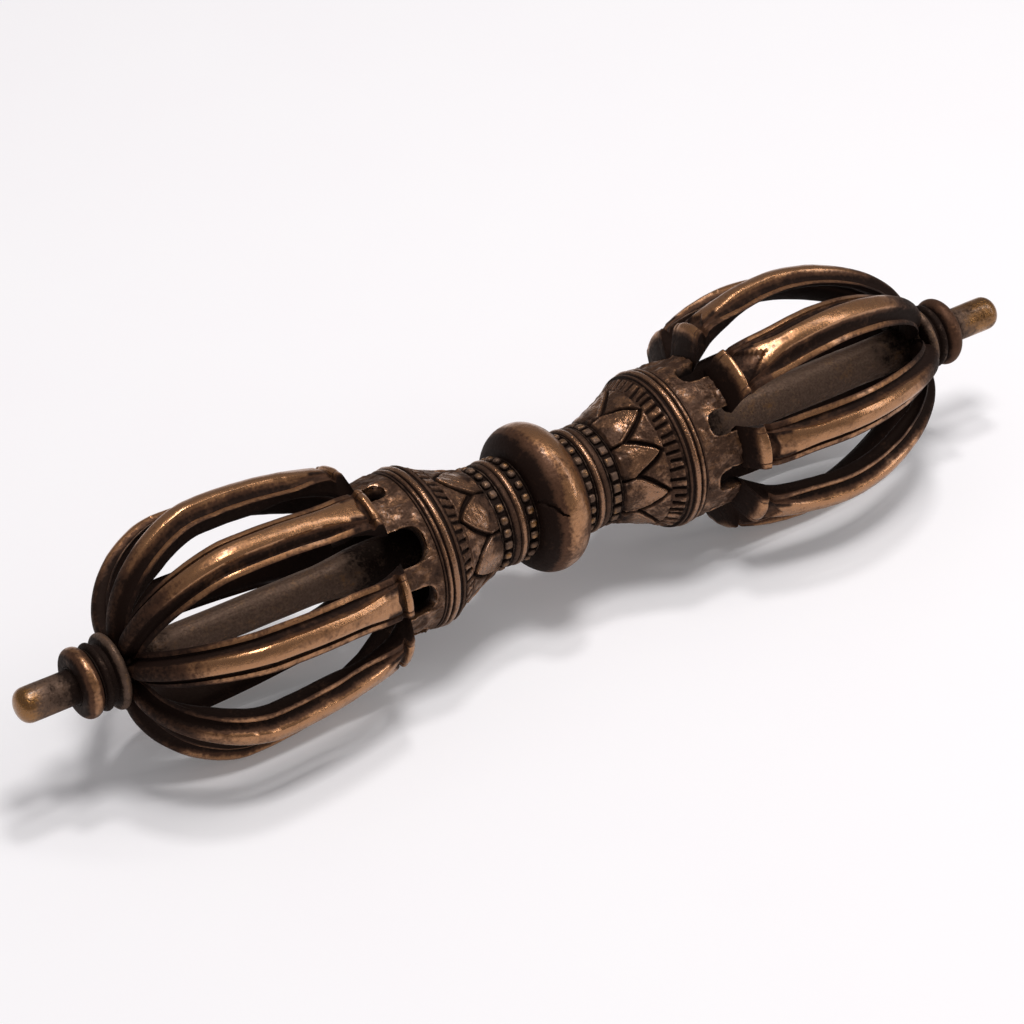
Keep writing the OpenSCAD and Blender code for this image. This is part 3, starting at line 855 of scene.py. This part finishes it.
def rim_grime(x, y, z):
    return 1 - ease(rim_band_r - 0.02, rim_band_r + 0.2, math.hypot(y, z))


for side, side_name in SIDES:
    section = [(0.0, rim_bore_r)]
    section += [(x, rim_band_r + moulding(x, rim_ridges)) for x in between(0, rim_w, rim_rows)]
    section.append((rim_w, rim_bore_r))
    profile = [(side * (rim_start_x + x), r) for x, r in section]
    points, faces = turned(profile, rim_columns, rim_uneven, closed=True)
    ring = piece_of(f"{side_name}_rim_moulding", points, faces, rim_rubbed, rim_grime, chased_bronze)
    set_on_frame(ring, f"{side_name}_rim_ring")

# Prongs
# Eight bent bars make each cage. Each is cast with a raised crest between two grooves and thin side lips,
# flares to a squared end with a raised bar across it, and tapers to a toe pegged under the tip cap.
# They were bent by hand: set_off turns some at root and toe, in degrees, and some are wider or deeper.
cage_length = cap_x - prong_seat_x
cage_r = 19.3
apex_x = {-1: 24.5, 1: 16.5}
tip_fullness = 1.7
root_rise = 4.25
root_drop = 3.05
bend_r = 5.5
toe_r = 3.2
root_w, mid_w, tip_w, toe_w = 6.6, 6.4, 5.0, 3.4
root_h, neck_h, mid_h, tip_h = 5.3, 4.0, 3.1, 2.5
set_off = {
    (-1, 1): (4, 5), (-1, 2): (0, 10), (-1, 3): (-3, 0), (-1, 4): (5, -2),
    (-1, 7): (3, 0), (-1, 8): (3, 6),
    (1, 1): (5, 5), (1, 3): (0, -9),
}
wider = {(1, 3): 1.2}
deeper = {(-1, 2): 1.5, (-1, 5): 1.5, (1, 3): 0.5, (1, 5): 1.3}
crest_w = 2.5
crest_crown = 0.4
groove_depth = 1.9
lip_w = 0.8
lip_drop = 1.6
lip_bevel = 0.3
belly_round = 0.7
end_slope = 1.3
bar_x = 2.3
bar_rise = 0.25
bar_edge_drop = 0.15
hollow_depth = 0.65
hollow_x = 2.7
hollow_end_x = 6.5
hollow_reach = {(1, 3): 3.6, (1, 4): 0.5, (-1, 2): 0.4, (-1, 3): 0.7, (-1, 4): 0.5}
flare_length = 11.0
FISHTAIL = 0.92
HOLLOW_FLARE = 0.7
FOOT = 0.82
UNDERSIDE = 0.5
# Share of the run over which painted shade deepens towards the toe
DARK_TIP = (0.65, 0.83)
SLOPE_STEPS, HOLLOW_STEPS, FLARE_STEPS, ARC_STEPS, TIP_STEPS = 5, 44, 12, 14, 36
PRONGS = 8


def along_table(value, table):
    """A value read off straight lines between the pairs of a table."""
    for (a0, b0), (a1, b1) in zip(table, table[1:]):
        if value <= a1:
            return b0 + (b1 - b0) * (value - a0) / (a1 - a0)
    return table[-1][1]


def crest_lift(x, across, reach):
    """How far the crest stands above its arc: the sloping end face, the bar, then a V-shaped hollow."""
    if x < end_slope:
        return -root_drop + (root_drop + bar_rise - bar_edge_drop) * (x / end_slope) ** 0.9
    if x < bar_x:
        t = (x - end_slope) / (bar_x - end_slope)
        return bar_rise - bar_edge_drop * (2 * t - 1) ** 2
    far_side = hollow_x + reach * (1 - across)
    down = ease(bar_x - 0.15, bar_x + 0.3, x) * (bar_rise - bar_edge_drop)
    dug = hollow_depth * ease(bar_x, bar_x + 0.35, x) * (1 - ease(far_side, far_side + 0.7, x))
    return bar_rise - bar_edge_drop - down - dug


def prong_frames(side):
    """Sections along a prong: x, z, lean, share of the run, and flare."""
    apex = apex_x[side]
    arc_r = (apex ** 2 + root_rise ** 2) / (2 * root_rise)
    stations = between(0, end_slope, SLOPE_STEPS)
    stations += between(end_slope + 0.1, hollow_end_x, HOLLOW_STEPS)
    stations += between(hollow_end_x + 0.3, flare_length, FLARE_STEPS)
    stations += between(flare_length + 0.6, apex, ARC_STEPS)
    frames = []
    for x in stations:
        z = cage_r - arc_r + math.sqrt(arc_r ** 2 - (apex - x) ** 2)
        t = min(1.0, max(0.0, (x - hollow_x) / (flare_length - hollow_x)))
        flare = HOLLOW_FLARE * (1 + math.cos(math.pi * t)) / 2
        flare += (1 - flare) * (1 - ease(bar_x - 0.2, hollow_x, x))
        frames.append((x, z, 0.0, x / apex / 2, flare))
    run, fall = cage_length - apex, cage_r - bend_r
    for k in range(1, TIP_STEPS + 1):
        t = math.pi / 2 * k / TIP_STEPS
        along = math.sin(t) ** (2 / tip_fullness)
        above = math.cos(t) ** (2 / tip_fullness) if k < TIP_STEPS else 0.0
        lean = math.atan2(fall * along ** (tip_fullness - 1), run * above ** (tip_fullness - 1))
        frames.append((apex + run * along, bend_r + fall * above, lean, 0.5 + t / math.pi, 0.0))
    frames.append((cage_length, toe_r, math.pi / 2, 2.0, 0.0))
    return frames


def prong_section(w, h, lift_at, flare):
    """Half a section, from mid-crest to mid-underside: sideways, depth, rubbed and how dark each point is;
    the near-black on the side walls and underside is painted shade.
    """
    narrowing = min(1.0, 2 * w / mid_w)
    crest = crest_w / 2 * narrowing
    lip = w - lip_w * narrowing
    shoulder = crest + (lip * FISHTAIL - crest) * flare
    plain = (1 - flare) * narrowing
    edge_y = crest_crown - lift_at(1.0)
    lip_y = lip_drop * plain + crest_crown - lift_at(1.0) * flare
    half = []
    for t in (0, 0.15, 0.3, 0.45, 0.6, 0.75, 0.88, 0.96, 1.0):
        half.append((shoulder * t, crest_crown * t ** 3 - lift_at(t), 0.8 + 0.2 * t, 0.0))
    for t in (0.07, 0.2, 0.38, 0.58, 0.78, 0.93):
        cut = math.sin(math.pi * t ** 0.8) ** 0.7 * (groove_depth - lip_drop / 2) * plain
        black = min(1.0, 1.6 * math.sin(math.pi * t)) * (1 - flare) ** 0.4
        half.append((shoulder + (lip - shoulder) * t, edge_y + (lip_y - edge_y) * t + cut, 0.3, 0.82 * black))
    half.append((lip, lip_y, 0.7, 0.0))
    half.append((lip + (w - lip) * 0.55, lip_y + 0.06, 0.75, 0.05))
    half.append((w, lip_y + lip_bevel, 0.3, 0.45))
    # Painted shade: the side walls and the underside are marked near-black
    side_top, side_foot = lip_y + lip_bevel, h - belly_round
    for t in (0.15, 0.5, 0.8):
        x = w + (w * FOOT - w) * t - 0.08 * math.sin(math.pi * t)
        half.append((x, side_top + (side_foot - side_top) * t, 0.05, 0.9))
    half.append((w * FOOT, side_foot, 0.05, 0.9))
    half.append((w * (FOOT * 0.6 + UNDERSIDE * 0.4), h - 0.3 * belly_round, 0.05, 0.95))
    half.append((w * UNDERSIDE, h, 0.05, 0.95))
    return half + [(0.0, h, 0.05, 0.95)]


def prong(side, number):
    """One prong's points and faces, and how rubbed and how dark each point is, with painted shade on its end
    face, hollow and toe.
    """
    plain_from = flare_length / apex_x[side] / 2
    widths = [(0, root_w / 2), (plain_from, mid_w / 2), (0.5, mid_w / 2), (1, tip_w / 2), (2, toe_w / 2)]
    heights = [(0, root_h), (plain_from / 3, neck_h), (plain_from, mid_h), (0.5, mid_h)]
    heights += [(1, tip_h), (2, tip_h)]
    seed = 60 + 10 * side + number
    reach = hollow_reach.get((side, number), 1.7 + 0.8 * rough(number, side, 0, 1.3, 7))
    root_off, toe_off = set_off.get((side, number), (0, 0))
    seat = math.radians((number - 0.5) * 360 / PRONGS - 90) + (far_turn if side > 0 else 0.0)
    rings, marks = [], []
    for x, z, lean, share, flare in prong_frames(side):
        def lift_at(across):
            return crest_lift(x, across, reach)

        extra = deeper.get((side, number), 0.0) * ease(0.1, 0.35, share) * (1 - ease(0.7, 0.95, share))
        broader = (wider.get((side, number), 1.0) - 1) * (1 - ease(0.6, 0.95, share))
        w = along_table(share, widths) * (1 + broader)
        half = prong_section(w, along_table(share, heights) + extra, lift_at, flare)
        ring = half + [(-s, y, b, g) for s, y, b, g in half[-2:0:-1]]
        turn = seat + math.radians(root_off + (toe_off - root_off) * x / cage_length)
        sway = 0.2 * math.sin(math.pi * min(1, x / cage_length)) * rough(number, side, 0, 1.3, seed)
        for s, depth, bare, black in ring:
            # Painted shade: the hollow behind the bar, the sloping end face and the run towards the toe are
            # darkened and lose their rubbed brightness
            hollow = (1 - ease(-0.3, 0.05, -depth)) * bare
            hollow = hollow * ease(bar_x, bar_x + 0.3, x) * (1 - ease(hollow_end_x - 1, hollow_end_x, x))
            on_end = 1 - ease(0.75, end_slope + 0.15, x)
            near_tip = ease(*DARK_TIP, share)
            worn = 0.25 * rough(x, s, number, 5, seed) + 0.15 * rough(x, s, number, 1.5, seed + 1)
            bare_here = (bare + worn * bare) * (1 - 0.95 * on_end) * (1 - 0.9 * near_tip) - 0.6 * hollow
            black_here = max(black, 0.9 * on_end, 0.75 * hollow) + 0.7 * near_tip
            depth += 0.06 * (1 + rough(x, s, depth, 2.2, seed)) + 0.02 * rough(x, s, depth, 0.7, seed)
            px, ps, pz = x - math.sin(lean) * depth, s + sway, z - math.cos(lean) * depth
            y = ps * math.cos(turn) - pz * math.sin(turn)
            up = ps * math.sin(turn) + pz * math.cos(turn)
            rings.append((side * (prong_seat_x + px), y, up))
            marks.append((bare_here, black_here))
    count = len(ring)
    last = len(rings) - count
    faces = []
    for start in range(0, last, count):
        for k in range(count):
            n = (k + 1) % count
            faces.append((start + k, start + n, start + count + n, start + count + k))
    faces += [tuple(range(count)), tuple(range(last, last + count))]
    return rings, faces, marks


for side, side_name in SIDES:
    for number in range(1, PRONGS + 1):
        points, faces, marks = prong(side, number)
        worth = dict(zip(points, marks))
        bar = piece_of(
            f"{side_name}_cage_prong_{number}", points, faces,
            lambda *p: worth[p][0], lambda *p: worth[p][1], rubbed_bronze,
        )
        set_on_frame(bar, f"{side_name}_prong_{number}")

# Tip caps
# A collar on each end of the spindle gathers the toes of the prongs, which are pegged into its inner face.
# It is seldom touched, so it keeps its dark skin, deepened by painted shade where the toes crowd round it,
# most in its grooves; only the top of its bold ring is a little rubbed.
cap_start_x, cap_end_x = span_of("far_tip_cap")
cap_w = cap_end_x - cap_start_x
cap_groove_r = 4.4
cap_rings = [(0.8, 0.85, 1.3), (3.0, 0.6, 0.62)]
cap_columns = 120
cap_rows = 44


def cap_profile(side):
    section = [(0, tenon_bore_r)]
    section += [(x, cap_groove_r + moulding(x, cap_rings)) for x in between(0, cap_w, cap_rows)]
    section.append((cap_w, tenon_bore_r))
    return [(side * (cap_start_x + x), r) for x, r in section]


def cap_uneven(x, y, z):
    return 0.07 * rough(x, y, z, 2.2, 81) - 0.06


def cap_rubbed(x, y, z):
    return 0.45 * ease(1.05, 1.3, math.hypot(y, z) - cap_groove_r)


# Dark skin with painted shade, full in the grooves and lightest on the bold ring
def cap_grime_and_shade(x, y, z):
    return 1 - 0.6 * ease(0.2, 1.2, math.hypot(y, z) - cap_groove_r)


for side, side_name in SIDES:
    points, faces = turned(cap_profile(side), cap_columns, cap_uneven, closed=True)
    cap = piece_of(f"{side_name}_toe_collar", points, faces, cap_rubbed, cap_grime_and_shade, smoked_bronze)
    set_on_frame(cap, f"{side_name}_tip_cap")

# Tip rings
# A plain round ring outside each cap, like a small bead threaded on the spindle and soldered there.
# The near one's outer swell is worn to bare metal, and the far one is still dark.
tip_ring_start_x, tip_ring_end_x = span_of("far_tip_ring")
tip_ring_x = (tip_ring_start_x + tip_ring_end_x) / 2
tip_ring_tube = (tip_ring_end_x - tip_ring_start_x) / 2
tip_ring_r = 5.25
tip_ring_polish = {-1: 0.6, 1: 0.15}
tip_ring_cleaned = {-1: 0.8, 1: 0.5}
tip_ring_columns = 120
tip_ring_rows = 18


def tip_ring_profile(side):
    section = [(-tip_ring_tube, tenon_bore_r)]
    for t in between(0, math.pi, tip_ring_rows):
        r = tip_ring_r - tip_ring_tube + tip_ring_tube * math.sin(t)
        section.append((-tip_ring_tube * math.cos(t), r))
    section.append((tip_ring_tube, tenon_bore_r))
    return [(side * (tip_ring_x + x), r) for x, r in section]


def tip_ring_uneven(x, y, z):
    return 0.05 * rough(x, y, z, 2.5, 91) - 0.04


def tip_ring_rubbed(x, y, z):
    side = -1 if x < 0 else 1
    return 0.05 + tip_ring_polish[side] * ease(-0.35, -0.05, math.hypot(y, z) - tip_ring_r)


def tip_ring_grime(x, y, z):
    side = -1 if x < 0 else 1
    return 0.85 - tip_ring_cleaned[side] * ease(-0.95, -0.15, math.hypot(y, z) - tip_ring_r)


for side, side_name in SIDES:
    points, faces = turned(tip_ring_profile(side), tip_ring_columns, tip_ring_uneven, closed=True)
    ring = piece_of(f"{side_name}_end_ring", points, faces, tip_ring_rubbed, tip_ring_grime, rubbed_bronze)
    set_on_frame(ring, f"{side_name}_tip_ring")

# Floor and light
# The dorje lies on a plain white sheet. Two small lamps hang above it, one a little before and one behind,
# and draw its double shadow. A long one slants down on the right, from overhead to the front, and lines the
# crests with light, and the room is a soft grey.
floor_size = 6.0
floor_colour = (0.87, 0.85, 0.87, 1)
fibre_colour = (0.88, 0.875, 0.885, 1)
fibre_scale = 30.0
floor_roughness = 0.9
floor_sheen = 0.1
floor_lift = 0.11
room_grey = (0.62, 0.6, 0.62, 1)
room_strength = 0.42

floor_mesh = bpy.data.meshes.new("white_sheet")
floor_z = cad_box[0][2]
corners = [(-1, -1), (1, -1), (1, 1), (-1, 1)]
floor_points = [(x * floor_size / 2, y * floor_size / 2, floor_z) for x, y in corners]
floor_mesh.from_pydata(floor_points, [], [(0, 1, 2, 3)])
floor = bpy.data.objects.new("white_sheet", floor_mesh)
bpy.context.scene.collection.objects.link(floor)
sheet = bpy.data.materials.new("white_sheet")
sheet.use_nodes = True
tree = sheet.node_tree
paper = tree.nodes["Principled BSDF"]
place = tree.nodes.new("ShaderNodeTexCoord").outputs["Object"]
fibre = mixed(tree, noise_of(tree, place, fibre_scale, 4.0), floor_colour, fibre_colour)
tree.links.new(fibre, paper.inputs["Base Color"])
paper.inputs["Roughness"].default_value = floor_roughness
paper.inputs["Specular IOR Level"].default_value = floor_sheen
ray = tree.nodes.new("ShaderNodeLightPath").outputs
seen = math_node(tree, "MAXIMUM", ray["Is Camera Ray"], ray["Is Glossy Ray"])
seen = math_node(tree, "MAXIMUM", seen, ray["Is Transmission Ray"])
glow = add_node(tree, "ShaderNodeEmission", {"Strength": math_node(tree, "MULTIPLY", seen, floor_lift)})
both = add_node(tree, "ShaderNodeAddShader", {0: paper.outputs[0], 1: glow.outputs[0]})
tree.links.new(both.outputs[0], tree.nodes["Material Output"].inputs["Surface"])
floor_mesh.materials.append(sheet)


def soft_lamp(name, place, width, depth, power, colour, slant=0.0):
    """A soft lamp that points at the middle of the dorje, turned by its slant about that line."""
    lamp_data = bpy.data.lights.new(name, "AREA")
    lamp_data.shape = "RECTANGLE"
    lamp_data.size = width
    lamp_data.size_y = depth
    lamp_data.energy = power
    lamp_data.color = colour
    lamp = bpy.data.objects.new(name, lamp_data)
    lamp.location = place
    lamp_turn = (-Vector(place)).to_track_quat("-Z", "Y") @ Quaternion((0, 0, 1), math.radians(slant))
    lamp.rotation_euler = lamp_turn.to_euler()
    bpy.context.scene.collection.objects.link(lamp)


lamp_white = (1.0, 0.985, 0.98)
lamp_cream = (1.0, 0.98, 0.97)
soft_lamp("front_lamp", place=(0.02, -0.13, 0.8), width=0.2, depth=0.2, power=2.85, colour=lamp_white)
soft_lamp("back_lamp", place=(0.15, 0.13, 0.95), width=0.12, depth=0.12, power=2.0, colour=lamp_white)
soft_lamp(
    "long_lamp", place=(0.6, -0.28, 0.51), width=1.05, depth=0.12, power=2.1, colour=lamp_cream, slant=58
)

room = bpy.data.worlds.new("grey_room")
bpy.context.scene.world = room
room.use_nodes = True
room.node_tree.nodes["Background"].inputs["Color"].default_value = room_grey
room.node_tree.nodes["Background"].inputs["Strength"].default_value = room_strength
bpy.context.scene.view_settings.view_transform = "Standard"
